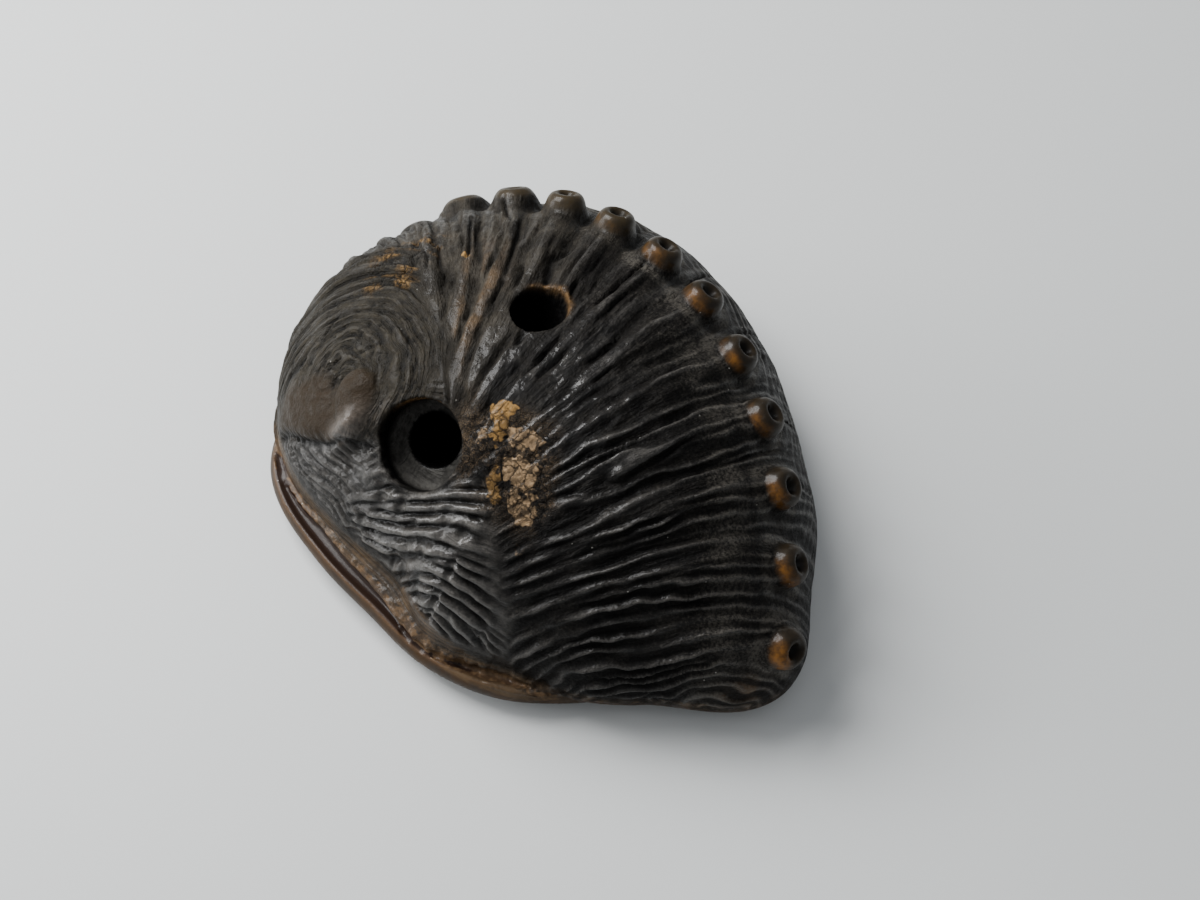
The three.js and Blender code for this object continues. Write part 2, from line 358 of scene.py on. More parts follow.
def on_surface(x, y, step=0.25):
    """The point of the surface over x and y, and the way the surface faces there."""
    x, y = np.array(x, float), np.array(y, float)
    slope_x = (surface_height(x + step, y) - surface_height(x - step, y)) / (2 * step)
    slope_y = (surface_height(x, y + step) - surface_height(x, y - step)) / (2 * step)
    normal = np.array([-slope_x, -slope_y, 1.0])
    return np.array([x, y, surface_height(x, y)]), normal / np.linalg.norm(normal, axis=0)


print("growth line of the crown:", growth_place(np.array([0.0]), np.array([0.0])))

# %% [markdown]
# ## The body, the pores and the cuts
#
# Rings of points run from the crown to the lip, under it, and on to the flat sole. Each raised
# pore is a turned profile, set square to the surface, and the cord holes are two cutters. A
# boolean takes the cutters out, and then a voxel remesh turns the body and the pores into one
# skin of even little squares, which is what fine carving needs. Subdividing the rings instead
# would crowd points at the crown and leave them thin at the rim.

# %% Rings of points
def underside_stations(direction):
    """Radii and heights from the lip to the sole; the foot is tucked under or shows."""
    shell, foot, lip = shell_radius(direction), foot_radius(direction), lip_height(direction)
    shown = ease(-0.6, 0.9, foot - shell)

    def either(tucked, exposed):
        return [mix(tucked[0], exposed[0], shown), mix(tucked[1], exposed[1], shown)]

    return [
        [shell - 0.12, lip - LIP["thickness"]],
        [shell - 0.7, lip - LIP["thickness"] - 0.15],
        either([mix(shell, foot, 0.5) - 0.2, 2.0], [shell - 0.25, 2.5]),
        either([foot + 0.25, 1.9], [foot - 0.95, 2.35]),
        either([foot + 0.1, 1.7], [foot - 0.45, 2.7]),
        either([foot, 1.35], [foot, 2.1]),
        either([foot - 0.2, 1.0], [foot - 0.1, 1.3]),
        [foot - 1.3, 0.45 + 0 * foot],
        [foot - 2.6, 0 * foot],
    ]


def smooth_between(stations, steps):
    """Points on a smooth curve through the stations."""
    path = np.array(stations)
    out = []
    for k in range(len(path) - 1):
        a, b, c, d = path[max(k - 1, 0)], path[k], path[k + 1], path[min(k + 2, len(path) - 1)]
        for t in np.arange(steps) / steps:
            out.append(0.5 * (2 * b + (c - a) * t + (2 * a - 5 * b + 4 * c - d) * t**2
                              + (3 * b - a - 3 * c + d) * t**3))
    out.append(path[-1])
    return out


def body_points(directions=360, rings=90):
    direction = np.arange(directions) * 360 / directions
    cos, sin = np.cos(direction * DEG), np.sin(direction * DEG)
    layers = []
    for ring in range(1, rings + 1):
        radius = math.sin(ring / rings * math.pi / 2) ** 0.9 * shell_radius(direction)
        x, y = radius * cos, radius * sin
        layers.append(np.stack([x, y, surface_height(x, y)], 1))
    for radius, height in smooth_between(underside_stations(direction), steps=3):
        layers.append(np.stack([radius * cos, radius * sin, np.maximum(height, 0)], 1))
    return layers


def outward(mesh):
    """Turns a closed mesh's faces to point out, whichever way they were listed."""
    work = bmesh.new()
    work.from_mesh(mesh)
    bmesh.ops.recalc_face_normals(work, faces=work.faces)
    work.to_mesh(mesh)
    work.free()


def closed_mesh(name, layers, top, bottom):
    """A mesh of rings, closed by a point at each end."""
    count = len(layers[0])
    points = np.vstack([[top]] + layers + [[bottom]])
    pairs = [(k, (k + 1) % count) for k in range(count)]
    faces = [(0, 1 + a, 1 + b) for a, b in pairs]
    for low in range(1, 1 + (len(layers) - 1) * count, count):
        faces += [(low + a, low + count + a, low + count + b, low + b) for a, b in pairs]
    last, end = 1 + (len(layers) - 1) * count, len(points) - 1
    faces += [(end, last + b, last + a) for a, b in pairs]
    mesh = bpy.data.meshes.new(name)
    mesh.from_pydata([tuple(p) for p in points], [], faces)
    outward(mesh)
    return mesh


body_mesh = closed_mesh("body", body_points(), on_surface(0, 0)[0], (0, 0, 0))
print("body:", len(body_mesh.vertices), "points")

# %% Turned profiles, for the pores and the recess
def turned(name, profile, place, aim, sides):
    """A profile of [radius, height] turned about an axis, stood at place along aim."""
    angle = np.arange(sides) * 2 * math.pi / sides
    layers = [np.stack([r * np.cos(angle), r * np.sin(angle), 0 * angle + z], 1)
              for r, z in profile[1:-1]]
    mesh = closed_mesh(name, layers, (0, 0, profile[0][1]), (0, 0, profile[-1][1]))
    rotation = Vector((0, 0, 1)).rotation_difference(Vector(aim)).to_matrix().to_4x4()
    mesh.transform(Matrix.Translation(Vector(place)) @ rotation)
    return mesh


def pore_place(number):
    turned_by = number * (ROW["step"] - ROW["shortening"] * number)
    direction = (ROW["first_direction"] - turned_by) * DEG
    radius = ROW["first_radius"] * math.exp(ROW["growth"] * turned_by * DEG)
    x, y = ROW["centre"]
    return on_surface(x + radius * math.cos(direction), y + radius * math.sin(direction))


def pore_growth(number):
    """The share of its full radius that a pore has reached."""
    return mix(0.9, 1, ease(-2, 5, number))


def pore_profile(number):
    r = PORE["radius"] * float(pore_growth(number))
    h = PORE["height"] * mix(0.60, 1, float(ease(-2, 5, number)))
    pit = PORE["pit"] * mix(0.1, 1.4, float(ease(0, 4, number)))
    profile = [(0, h - pit), (0.15 * r, h - pit * 0.95), (0.27 * r, h - pit * 0.72),
               (0.37 * r, h - pit * 0.34), (0.45 * r, h - 0.07), (0.54 * r, h),
               (0.66 * r, h - 0.05), (0.79 * r, h * 0.86), (0.91 * r, h * 0.64),
               (0.98 * r, h * 0.38), (1.02 * r, h * 0.14), (1.08 * r, -0.05), (1.18 * r, -0.4),
               (1.2 * r, -PORE["root"]), (0, -PORE["root"])]
    mound = 1 - float(ease(0.6, 3.4, number))
    return [(across * mix(1, 1.35, mound * (1 - max(up, 0) / h)), up) for across, up in profile]


pores = [pore_place(number) for number in range(ROW["count"])]
pore_meshes = [turned(f"pore_{i}", pore_profile(i), place, aim, sides=32)
               for i, (place, aim) in enumerate(pores)]
print("first and last pore stand at", pores[0][0].round(1), pores[-1][0].round(1))

# %% The cutters for the cord holes
recess_at, recess_aim = on_surface(*RECESS["centre"])
above, deep, wide = RECESS["above"], RECESS["depth"], RECESS["radius"]
recess_profile = [(0, above), (wide + 0.2, above), (wide + 0.12, 0.6), (wide, 0),
                  (wide - 0.06, -1.6), (wide - 0.14, -deep + 0.45), (wide - 0.3, -deep + 0.15),
                  (wide - 0.6, -deep), (0, -deep)]
recess_mesh = turned("recess", recess_profile, recess_at, recess_aim, sides=64)


def tube(name, route, radius, sides, steps):
    """A tube of even width along a smooth route."""
    spine = np.array(smooth_between(route, steps))
    heading = np.gradient(spine, axis=0)
    heading /= np.linalg.norm(heading, axis=1)[:, None]
    angle = np.arange(sides) * 2 * math.pi / sides
    layers = []
    for at, ahead in zip(spine, heading):
        side = np.cross(ahead, (1.0, 0.0, 0.0))
        side /= np.linalg.norm(side)
        ring = np.outer(np.cos(angle), side) + np.outer(np.sin(angle), np.cross(ahead, side))
        layers.append(at + radius * ring)
    return closed_mesh(name, layers, spine[0], spine[-1])


channel_mesh = tube("channel", CHANNEL_ROUTE, CHANNEL_RADIUS, sides=40, steps=8)
print("recess opens towards", recess_aim.round(2))

# %% Cut, join and remesh
def apply_modifier(thing, kind, **settings):
    modifier = thing.modifiers.new(kind.lower(), kind)
    for name, value in settings.items():
        setattr(modifier, name, value)
    depsgraph = bpy.context.evaluated_depsgraph_get()
    mesh = bpy.data.meshes.new_from_object(thing.evaluated_get(depsgraph))
    thing.modifiers.clear()
    old, thing.data = thing.data, mesh
    bpy.data.meshes.remove(old)


carving = placed(body_mesh)
for cutter_mesh in (recess_mesh, channel_mesh):
    cutter = placed(cutter_mesh)
    apply_modifier(carving, "BOOLEAN", operation="DIFFERENCE", object=cutter, solver="EXACT")
    bpy.data.objects.remove(cutter)
print("cut:", len(carving.data.vertices), "points")

joined = [carving] + [placed(mesh) for mesh in pore_meshes]
bpy.context.view_layer.update()
with bpy.context.temp_override(active_object=carving, selected_editable_objects=joined):
    bpy.ops.object.join()
VOXEL = 0.155
apply_modifier(carving, "REMESH", mode="VOXEL", voxel_size=VOXEL, use_smooth_shade=True)
apply_modifier(carving, "SMOOTH", factor=0.5, iterations=3)
carving.name = carving.data.name = "carved_shell"
print("remeshed:", len(carving.data.vertices), "points,", len(carving.data.polygons), "faces")

# %% [markdown]
# ## Where each point of the skin lies
#
# The carver's folds follow the way a shell grows, so the relief needs a map of the surface
# first: which growth line a point is on, how far it is from the row of pores, from the lip,
# from the holes and from the coil of the spire. A texture painted in x and y would ignore all
# that and look like cloth laid over a stone. Working in arrays, one number per point, keeps
# every later step a line or two long.

# %% Read the points
def read_points(name):
    values = np.empty(len(carving.data.vertices) * 3)
    carving.data.vertices.foreach_get(name, values)
    return values.reshape(-1, 3)


points, normals = read_points("co"), read_points("normal")
x, y, z = points.T
direction, radius = polar(x, y)
heading = turn(direction)
lip = lip_height(direction)
from_lip = shell_radius(direction) - radius
skin_from_lip = np.hypot(np.maximum(from_lip, 0), np.maximum(z - lip + 0.2, 0))
skin_depth = surface_height(x, y) - z
print("points:", len(x), " deepest below the dome:", round(float(skin_depth.max()), 1), "mm")

# %% Distances to the pores and the holes
def along_and_away(place, aim):
    """Height above a place along its axis, and distance from that axis."""
    offset = points - place
    along = offset @ aim
    return along, np.linalg.norm(offset - np.outer(along, aim), axis=1)


# How far from its middle line, in mm, a point still belongs to each hole.
REACH = dict(recess=3.9, recess_floor=3.6, small_hole=2.6, channel=2.25, bore=2.05)
FAR_OFF, PORE_RISE = 99.0, 2.5
pore_distance, pore_number = np.full(len(x), FAR_OFF), np.zeros(len(x))
for i, (place, aim) in enumerate(pores):
    along, away = along_and_away(place, aim)
    near = (away < pore_distance) & (np.abs(along) < PORE_RISE)
    pore_distance[near], pore_number[near] = away[near], i
recess_along, recess_away = along_and_away(recess_at, recess_aim)
small_hole = np.array(CHANNEL_ROUTE[1])
hole_aim = np.array(CHANNEL_ROUTE[0]) - small_hole
hole_away = along_and_away(small_hole, hole_aim / np.linalg.norm(hole_aim))[1]
channel_away = np.min([np.linalg.norm(points - p, axis=1)
                       for p in smooth_between(CHANNEL_ROUTE, steps=4)], axis=0)
in_recess = (recess_away < REACH["recess"]) * (recess_along < 0.8)
in_hole = strongest(ease(0.25, 0.6, skin_depth) * in_recess,
                    ease(0.1, 0.45, skin_depth) * (hole_away < REACH["small_hole"]),
                    ease(0.3, 0.9, skin_depth) * (channel_away < REACH["channel"]))
recess_floor = (recess_away < REACH["recess_floor"]) * fall(-2.3, -1.7, recess_along)
recess_floor = recess_floor * (channel_away > REACH["bore"]) * in_hole
outer_shell = fall(0.3, 0.8, skin_depth) * (z > lip - 0.35)
print("in the holes:", int((in_hole > 0.5).sum()))

# %% The map of growth
def spacing_of(count_at, half=0.1):
    """How far apart, along the skin, the whole numbers of a count lie."""
    slope = np.stack([count_at(x + half, y) - count_at(x - half, y),
                      count_at(x, y + half) - count_at(x, y - half), 0 * x], 1) / (2 * half)
    slope -= normals * (slope * normals).sum(axis=1)[:, None]
    return 1 / np.maximum(np.linalg.norm(slope, axis=1), 1e-3)


SPIRE_CENTRE = (-12.5, -8.0)
number, from_row = growth_place(x, y)
number = np.clip(number, -6, 14)
spire_angle, spire_radius = polar(x, y, SPIRE_CENTRE)
spire_angle = (spire_angle + 90) % 360 - 90
row_radius = polar(x, y, ROW["centre"])[1]
spacing = spacing_of(lambda px, py: growth_place(px, py)[0])
print("growth lines lie", np.percentile(spacing, [10, 50, 90]).round(1), "mm apart")

# %% Noise that has no direction of its own
SHUFFLE = (73856093, 19349663, 83492791)
GRADIENTS = np.random.default_rng(11).normal(size=(4096, 3))
GRADIENTS /= np.linalg.norm(GRADIENTS, axis=1)[:, None]


def shuffled(cell):
    """A number from 0 to 4095 for each cell of space, with no order that shows."""
    a, b, c = (cell[:, axis] * factor for axis, factor in enumerate(SHUFFLE))
    return (a ^ b ^ c) & (len(GRADIENTS) - 1)


def steps_to(*steps):
    return [(a, b, c) for a in steps for b in steps for c in steps]


def noise(u, v, w=0.0, seed=0):
    """Smooth noise from about -1 to 1, with bumps about one unit across."""
    where = np.stack(np.broadcast_arrays(u, v, w), -1).astype(float) + seed * 17.37
    cell = np.floor(where).astype(np.int64)
    inside = where - cell
    total = np.zeros(len(where))
    for corner in steps_to(0, 1):
        offset = inside - corner
        fade = 1 - np.abs(offset)
        fade = fade**3 * (fade * (fade * 6 - 15) + 10)
        total += fade.prod(axis=1) * (GRADIENTS[shuffled(cell + corner)] * offset).sum(axis=1)
    return total * 1.6


def grainy(size, seed):
    """Noise in space, with bumps of one size in millimetres."""
    return noise(x / size, y / size, z / size, seed=seed)


def oval(px, py, length, width, lean=0):
    """0 at a place, 1 on an ellipse about it, and more outside."""
    c, s = math.cos(lean * DEG), math.sin(lean * DEG)
    u, v = (x - px) * c + (y - py) * s, (y - py) * c - (x - px) * s
    return np.hypot(u / length, v / width)


patchy, shaky, lumps = grainy(3.1, 1), grainy(1.5, 4), grainy(1.3, 8)
print("noise runs from", round(float(patchy.min()), 2), "to", round(float(patchy.max()), 2))

# %% [markdown]
# ## Growth folds
#
# Each fold leaves the row of pores and sweeps in towards the spire. Between the pores there
# are several folds, and further in they run together. A wave counted along the growth lines
# gives them their order, and two waves, one twice as fine as the other, are blended by how
# far apart the lines lie, so that a new fold slips in where there is room for one. Long thin
# noise, stretched along the lines, bends them and makes them come and go. Near the crown
# they are broad, with narrow slits between; towards the growing end they are thin crests
# over wide hollows, so the wave is bent to one shape or the other.

# %% A wave that divides where there is room
PITCH = dict(broad=1.7, thin=1.05, fan=1.05, side=0.85, stria=0.80, spire_rib=1.3, wall=0.95,
             groove=0.42)


def dividing_wave(count, gap, pitch):
    """Waves at whole powers of two, blended so that they stay about pitch apart."""
    level = np.log2(np.maximum(gap / pitch, 1e-3))
    low = np.floor(level)
    slow, fast = ripple(count * 2.0**low), ripple(count * 2.0 ** (low + 1))
    return mix(slow, fast, ease(0.3, 0.7, level - low))


def growth_noise(across, along, seed):
    """Noise stretched along the growth lines."""
    return noise(number * across, from_row * along, seed=seed)


long_warp = growth_noise(1.1, 0.045, 2)
fine_warp = growth_noise(2.6, 0.12, 3)
warp = (0.30 * long_warp + 0.14 * fine_warp) * mix(1, 0.5, ease(8.5, 10.5, number))
bent = number + warp + 0.035 * shaky
thin_crests = ease(5.0, 7.6, number + 0.9 * patchy)
broad_wave = dividing_wave(bent, spacing, PITCH["broad"])
thin_wave = dividing_wave(bent * 1.5, spacing / 1.5, PITCH["thin"])
wave = 0.5 + 0.5 * mix(broad_wave, thin_wave, thin_crests)
broad_fold, thin_fold = 1 - (1 - wave) ** 2.8, wave**3.0
folds = mix(broad_fold, thin_fold, thin_crests) - mix(0.75, 0.25, thin_crests)

coming_and_going = 0.5 + 0.5 * growth_noise(4.2, 0.17, 5)
strength = mix(0.12, 1.3, clamp(coming_and_going * 1.9 - 0.40))
split = growth_noise(4.5, 0.075, 6)
split_line = thread(split, 3.2) ** 3 * ease(2.0, 3.2, spacing)
folds = folds * strength + mix(-0.5, 0.34, thin_crests) * split_line
print("folds run from", folds.min().round(2), "to", folds.max().round(2))

# %% Crumpled folds, and slits across them
CRUMPLED = (2.5, 1.0, 9.0, 6.5)
chatter = growth_noise(9, 0.25, 21)
chatter = chatter + 0.7 * growth_noise(19, 0.6, 23)
crumple = grainy(0.85, 61) + 0.6 * growth_noise(6, 0.55, 62)
crumpled = bell(oval(*CRUMPLED))
folds = folds + (0.18 * chatter + 0.34 * crumple * crumpled) * ease(1.6, 3, spacing)

SLITS_PER_PORE = 2.1
slit_count = bent * SLITS_PER_PORE + 0.2 * long_warp
slit_line = np.round(slit_count)
slit_away = np.abs(slit_count - slit_line) * spacing / SLITS_PER_PORE
slit_open = noise(slit_line * 7.3, from_row * 0.085, seed=41)
slits = (bell(slit_away / (0.09 + 0.15 * clamp(slit_open)))
         * ease(-0.02, 0.16, slit_open) * ease(-1.5, 0.5, number)
         * mix(1, 0.35, ease(6.5, 9, number)) * ease(1.4, 2.2, spacing) * ease(-6, -1, from_row))
print("slit points:", int((slits > 0.5).sum()))

# %% [markdown]
# ## The near flank, the spire and the steep wall
#
# Below the holes the shell turns over a soft keel. On the near side of it the wrinkles fan
# out like cloth pinched at one place near the lip, and run on alongside the lip to the left.
# Around the spire there are only fine striae, in arcs about the nucleus. Down the steep wall
# behind the pores run thin spiral ribs, side by side with the row. Each gets its own wave,
# and the masks between them are soft and a little uneven.

# %% Wrinkles of the flank
FAN = (-9.4, -13.2)
KEEL = [(-0.5, -3.2), (10.2, -13.6)]
FACET = (-6.6, -11.2, 1.6, 0.9)
along_keel, past_keel, keel_length = beside(x, y, *KEEL)
along_keel = along_keel / keel_length
past_keel = past_keel - 0.9 * np.sin(clamp(along_keel) * math.pi)
below, ledge_along = below_ledge(x, y)
near_flank = ease(-0.6, 0.6, past_keel + 0.5 * patchy) * ease(-0.35, 0.25, below + 0.2 * shaky)


def fan_count(px, py):
    """Ropes counted round the fan; each rope curls up a little as it runs out."""
    out = np.maximum(px - FAN[0], 0.8)
    return 3 * ((py - FAN[1]) / out - 0.012 * out)


def in_from_lip(px, py):
    direction, radius = polar(px, py)
    return shell_radius(direction) - radius


fan_far = polar(x, y, FAN)[1]
fan_warp = 0.05 * noise(fan_count(x, y) * 3.2, fan_far / 5, seed=7) + 0.02 * shaky
fan_wave = dividing_wave(fan_count(x, y) + fan_warp, spacing_of(fan_count), PITCH["fan"])
side_warp = 0.5 * noise(from_lip / 2, direction * 0.05, seed=19) + 0.07 * shaky
side_gap = spacing_of(in_from_lip) * 2
side_wave = dividing_wave((from_lip + side_warp) / 2, side_gap, PITCH["side"])
to_the_right = ease(-8.0, -6.2, x)
rope_wave = mix(0.5 + 0.5 * side_wave, 0.5 + 0.5 * fan_wave, to_the_right)
knuckle = noise(fan_count(x, y) * 4, fan_far / 1.1, seed=9)
facet = bell(oval(*FACET))
ropes = (1 - (1 - rope_wave) ** 1.9 - 0.7) * mix(0.45, 1.35, clamp(0.5 + knuckle))
ropes = ropes - 0.6 * ease(0.22, 0.5, -knuckle) + 0.25 * lumps
rope_strength = (mix(0.45, 1, ease(-8.5, -4.6, x)) * ease(1.6, 2.8, skin_from_lip)
                 * (1 - 0.8 * facet) * mix(1, ease(1.0, 3.0, fan_far), to_the_right))

hairline = noise(skin_from_lip * 1.9 + 0.5 * patchy, direction * 0.07, seed=74)
hairline_gaps = noise(skin_from_lip * 0.5, direction * 0.06, seed=75)
hairlines = (thread(hairline, 5) ** 2 * fall(-6.5, -3.5, x) * ease(1.8, 2.8, skin_from_lip)
             * near_flank * ease(-0.3, 0.2, hairline_gaps))
print("flank points:", int((near_flank > 0.5).sum()))

# %% Striae of the spire
NUCLEUS_TOP = (-9.95, -8.05)
reach_of_spire = mix(8.2, 12.5, ease(75, 125, np.where(spire_angle < -60, 180, spire_angle)))
on_spire = (fall(-1.3, 0.9, spire_radius - reach_of_spire + 0.7 * patchy)
            * fall(-0.2, 0.2, below))
nucleus_x, nucleus_y = x - NUCLEUS_TOP[0], y - NUCLEUS_TOP[1]
long_way, short_way = nucleus_x * 0.74 + nucleus_y * 0.67, nucleus_y * 0.74 - nucleus_x * 0.67
nucleus_far = np.hypot(long_way / 1.6, short_way / 1.9)
coil = spire_radius + 0.35 * spire_angle * DEG


def coil_noise(across, along, seed):
    """Noise stretched along the coil of the spire."""
    return noise(coil * across, spire_angle * along, seed=seed)


coil_warp = 0.9 * coil_noise(0.30, 0.016, 10)
coil_warp = coil_warp + 0.25 * coil_noise(0.9, 0.05, 24) + 0.10 * shaky
stria = ripple(coil + coil_warp, PITCH["stria"])
stria_fade = 0.35 + 0.8 * coil_noise(1.1, 0.05, 12)
thin_cut = thread(coil_noise(3.1, 0.05, 22), 4) ** 2 * ease(-0.1, 0.4, stria_fade)
striae = stria * np.clip(stria_fade, 0.05, 1) - 1.3 * thin_cut
striae = striae * ease(1.0, 1.5, nucleus_far) * ease(-1.2, 2.0, y + 9.5)
outer_ribs = ease(6.5, 10.5, spire_radius) * ease(60, 95, np.abs(spire_angle))
outer_rib = (ripple(coil + 0.8 * coil_warp, PITCH["spire_rib"])
             * clamp(0.5 + stria_fade))

SPIRE_CUTS = [((-12.2, -8.4), (-12.4, -7.6), 0.12), ((-13.6, -7.6), (-13.3, -6.4), 0.10),
              ((-12.1, -5.6), (-11.5, -4.6), 0.11), ((-16.0, -6.0), (-16.2, -4.2), 0.08)]


def short_cut(start, end, width):
    """1 in a short fine cut between two places, 0 away from it."""
    along, across, length = beside(x, y, start, end)
    ends = ease(-0.25, 0.15, along) * fall(length - 0.15, length + 0.25, along)
    return ends * bell((across + 0.10 * shaky) / width) * (z > 5)


spire_cuts = strongest(*[short_cut(*cut) for cut in SPIRE_CUTS])
print("striae points:", int((on_spire > 0.5).sum()))

# %% Ribs of the steep wall
wall = ease(1.0, 4.0, -from_row)
wall_height = z + 0.25 * noise(direction * 0.04, z * 0.4, seed=13)
wall_fade = noise(number * 0.9, z * 0.5, seed=76)
wall_rib = (ripple(wall_height - 0.25 * number, PITCH["wall"])
            * mix(0.35, 1, clamp(0.6 + wall_fade)))
print("wall points:", int((wall > 0.5).sum()))

# %% [markdown]
# ## Old wear and damage
#
# On the crown the stained skin has flaked off in islands and the pale wood underneath shows,
# crazed with dark cracks. High on the spire the crests of the ribs are worn through in the
# same way. Each island is a soft blob with a noisy outline, kept as a list of places and
# sizes, which is easier to move about than a painted mask. The cracks between the islands
# come from cells: a point on a crack is as far from one cell's middle as from the next.

# %% Cells and islands
def cracks(size, seed):
    """Distance from the nearest border between random cells, in cell sizes."""
    where = points / size + 0.45 * np.stack([grainy(size * 0.8, seed + k) for k in (1, 2, 3)], 1)
    cell = np.floor(where).astype(np.int64)
    nearest, second = np.full((2, len(where)), 9.0)
    for step in steps_to(-1, 0, 1):
        at = cell + step
        pick = (shuffled(at) + seed) & (len(GRADIENTS) - 1)
        far = np.linalg.norm(at + 0.5 + 0.42 * GRADIENTS[pick] - where, axis=1)
        second = np.minimum(second, np.maximum(nearest, far))
        nearest = np.minimum(nearest, far)
    return second - nearest


def island(px, py, length, width, lean, share):
    """A soft blob with a ragged outline, as strong as share in its middle."""
    return share * fall(0.88, 1.0, oval(px, py, length, width, lean) + island_edge) * (z > 8)


AMBER_ISLANDS = [(-0.6, -3.0, 0.95, 0.75, 40, 1), (0.1, -4.3, 1.1, 0.6, 120, 0.9),
                 (2.2, -7.0, 1.3, 0.55, -50, 0.8), (-11.9, 4.9, 0.45, 0.3, 0, 1)]
TAN_ISLANDS = [(2.0, -3.6, 1.35, 0.8, 10, 0.85), (3.1, -5.4, 1.35, 1.15, -30, 1),
               (4.6, -6.8, 1.15, 0.95, -50, 0.9), (5.8, -8.4, 1.2, 0.4, -50, 0.3),
               (-0.6, -5.2, 0.7, 0.4, 100, 0.5)]
SCAR = (2.0, -5.0, 5.6, 3.6)
WORN_RIBS = (-15.4, 1.6, 2.6, 4.6)
island_edge = 0.42 * grainy(0.7, 31) + 0.25 * grainy(0.32, 32)
amber = strongest(*[island(*place) for place in AMBER_ISLANDS])
tan = strongest(*[island(*place) for place in TAN_ISLANDS])
crack = fall(0.02, 0.11, cracks(0.95, 40))
small_crack = fall(0.02, 0.12, cracks(0.6, 50))
scar = fall(0.55, 1.15, oval(*SCAR) + 0.25 * patchy) * (z > 8) * ease(-1.8, -0.4, past_keel + 2.8)
worn_ribs = fall(0.45, 1.0, oval(*WORN_RIBS) + 0.35 * patchy) * (z > 8)
rib_flake = worn_ribs * ease(-0.05, 0.30, coil_noise(1.5, 0.07, 36)) * (1 - crack)
print("islands:", int((tan > 0.5).sum()), "tan and", int((amber > 0.5).sum()), "amber points")

# %% [markdown]
# ## Putting the relief together
#
# Every part of the relief is a height in millimetres along the surface's own normal. The
# pores and the edges of the holes stay smooth, because fingers and cord have polished them.
# The shell's lip on the near side is a ragged flange: thin plates with a torn outer edge and
# fine grooves along it.

# %% The lip's frill
def round_noise(fineness, seed):
    """Noise that changes only with the direction from the crown."""
    return noise(direction * fineness, 0 * direction, seed=seed)


frill_window = ease(-156, -146, heading) * fall(-50, -40, heading) * (heading < 0)
plate_width = mix(1.7, 2.5, ease(-96, -92.5, heading)) * (1 - 0.85 * ease(-84, -58, heading))
jagged = 0.8 * round_noise(0.30, 14) + 0.8 * round_noise(0.75, 71) + 0.3 * round_noise(2.1, 72)
frill_edge = plate_width * (0.26 + 0.20 * jagged)
frill = (frill_window * fall(-0.05, 0.05, skin_from_lip - frill_edge) * (from_lip > -0.6)
         * (z > lip - 0.7))
bite = ease(0.05, 0.16, noise(direction * 0.26, z * 0.2, seed=15)) * 0.28
bite = bite + ease(0.15, 0.25, noise(direction * 0.8, z * 0.2, seed=16)) * 0.08
bite = bite * mix(0.45, 1, ease(-98, -92, heading))
plate = frill_window * fall(-0.25, 0.25, skin_from_lip - plate_width) * (z > lip - 0.7)
plate_lines = plate * (1 - frill)
plate_groove = ripple(skin_from_lip + 0.12 * patchy, PITCH["groove"])
at_the_tip = fall(0.0, 0.6, from_lip) * frill_window * (from_lip > -0.22) * (z > lip - 0.95)
print("frill points:", int((frill > 0.5).sum()))

# %% Where each kind of relief may go
carved = (outer_shell * ease(1.30, 2.0, pore_distance + 0.2 * shaky)
          * ease(3.15, 3.75, recess_away + 0.25 * shaky)
          * ease(1.9, 2.9, hole_away + 0.3 * shaky))
at_edge = ease(0.1, 1.6, z - lip)
at_keel = 1 - 0.65 * bell(past_keel - 0.2) * ease(0.25, 0.5, along_keel)
fold_share = (1 - on_spire) * (1 - near_flank)
fold_depth = (mix(0.34, 0.36, thin_crests) * ease(4.5, 9, row_radius) * at_edge
              * fall(0.5, 3.0, -from_row) * mix(0.6, 1, ease(2, 6, hole_away))
              * mix(0.22, 1, ease(1.5, 8, from_row + 2 * patchy)) * (1 - 0.75 * scar) * at_keel)
rope_strength = rope_strength * at_keel
bare = strongest(tan, amber)
print("points to carve:", int((carved > 0.5).sum()))

# %% Small features with a place of their own
BETWEEN = dict(onward=2.05, outward=0.35, half_length=0.55, half_width=1.0)
between_pores = np.zeros(len(x))
for (place, _), (next_place, _) in zip(pores[1:], pores[2:]):
    onward = (next_place - place) / np.linalg.norm(next_place - place)
    inward = np.cross(onward, (0, 0, -1.0))
    middle = place + onward * BETWEEN["onward"] - inward * BETWEEN["outward"]
    u, v = (points - middle) @ onward, (points - middle) @ inward
    away = (u / BETWEEN["half_length"]) ** 2 + (v / BETWEEN["half_width"]) ** 2
    between_pores = strongest(between_pores, np.exp(-away) * (z > 2))

nucleus_edge = bell((nucleus_far - 1.12) / 0.14) * ease(-0.6, 0.6, short_way) * on_spire
nucleus_dome = np.maximum(0, 1 - nucleus_far**2) ** 0.75
ledge_line = (bell((below - 0.12 - (0.40 * patchy + 0.16 * shaky)) / 0.15)
              * ease(0.0, 0.12, ledge_along) * fall(0.9, 1.1, ledge_along) * (z > 5))

NUCLEUS_RIDGE = (-8.75, -8.85)
ridge_x, ridge_y = x - NUCLEUS_RIDGE[0], y - NUCLEUS_RIDGE[1]
nucleus_ridge = (bell((ridge_x * 0.84 - ridge_y * 0.55) / 0.75)
                 * bell((ridge_x * 0.55 + ridge_y * 0.84 + 0.9) / 1.8))

SWELLING = (21.2, -3.4, 4.2)
swelling = np.exp(-((points - SWELLING) ** 2).sum(axis=1) / 2.6)
print("between the pores:", int((between_pores > 0.5).sum()), "points")

